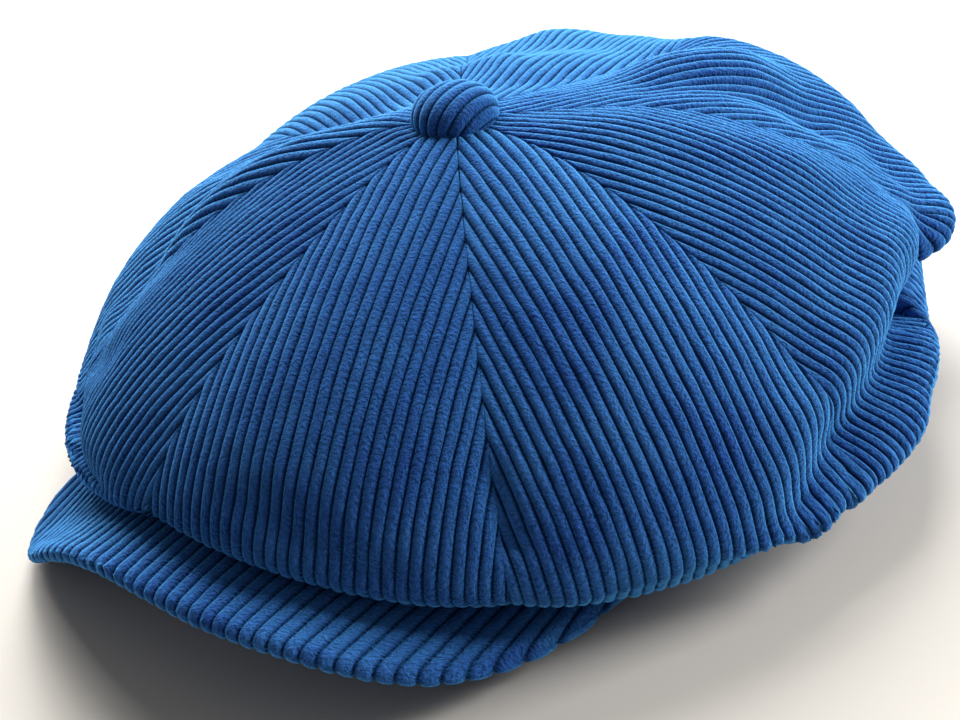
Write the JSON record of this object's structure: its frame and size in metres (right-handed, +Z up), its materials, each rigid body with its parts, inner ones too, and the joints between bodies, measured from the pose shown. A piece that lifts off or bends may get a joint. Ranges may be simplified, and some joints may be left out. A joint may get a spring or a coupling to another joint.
{
  "type": "newsboy cap",
  "caption": "Eight-gore corduroy newsboy cap with a covered top button, a stiffened curved visor, a lining and a sweatband.",
  "frame": {"origin": "centre of the head opening, in the plane that the hem rests on", "axes": "+Z up through the crown, -Y the way the wearer looks (the visor side), +X the wearer's left"},
  "size_m": [0.2678, 0.2844, 0.1089],
  "materials": {
    "corduroy": "royal blue wide-wale cotton corduroy, soft pile with a grazing sheen",
    "lining_satin": "navy polyester lining satin",
    "band_twill": "navy cotton twill tape",
    "interlining": "dark stiff non-woven interlining",
    "visor_board": "pale polyethylene visor board",
    "button_steel": "thin pressed steel",
    "blank_label": "blank woven satin label"
  },
  "bodies": {
    "cap": {"crown_gore_left_front": "corduroy", "crown_gore_left_front_side": "corduroy", "crown_gore_left_rear_side": "corduroy", "crown_gore_left_rear": "corduroy", "crown_gore_right_rear": "corduroy", "crown_gore_right_rear_side": "corduroy", "crown_gore_right_front_side": "corduroy", "crown_gore_right_front": "corduroy", "lining_gore_left_front": "lining_satin", "lining_gore_left_front_side": "lining_satin", "lining_gore_left_rear_side": "lining_satin", "lining_gore_left_rear": "lining_satin", "lining_gore_right_rear": "lining_satin", "lining_gore_right_rear_side": "lining_satin", "lining_gore_right_front_side": "lining_satin", "lining_gore_right_front": "lining_satin", "hem_tape": "band_twill", "sweatband": "band_twill", "headband_interlining": "interlining", "button_cover": "corduroy", "button_shell": "button_steel", "button_shank": "button_steel", "button_back_washer": "button_steel", "size_label": "blank_label"},
    "visor": {"visor_board": "visor_board", "visor_top_cover": "corduroy", "visor_under_cover": "corduroy"}
  },
  "joints": [
    {"name": "visor_flex", "type": "hinge", "parent": "cap", "child": "visor", "pos_m": [0, -0.05, 0.012], "axis": [1, 0, 0], "range_deg": [0, 8]}
  ]
}
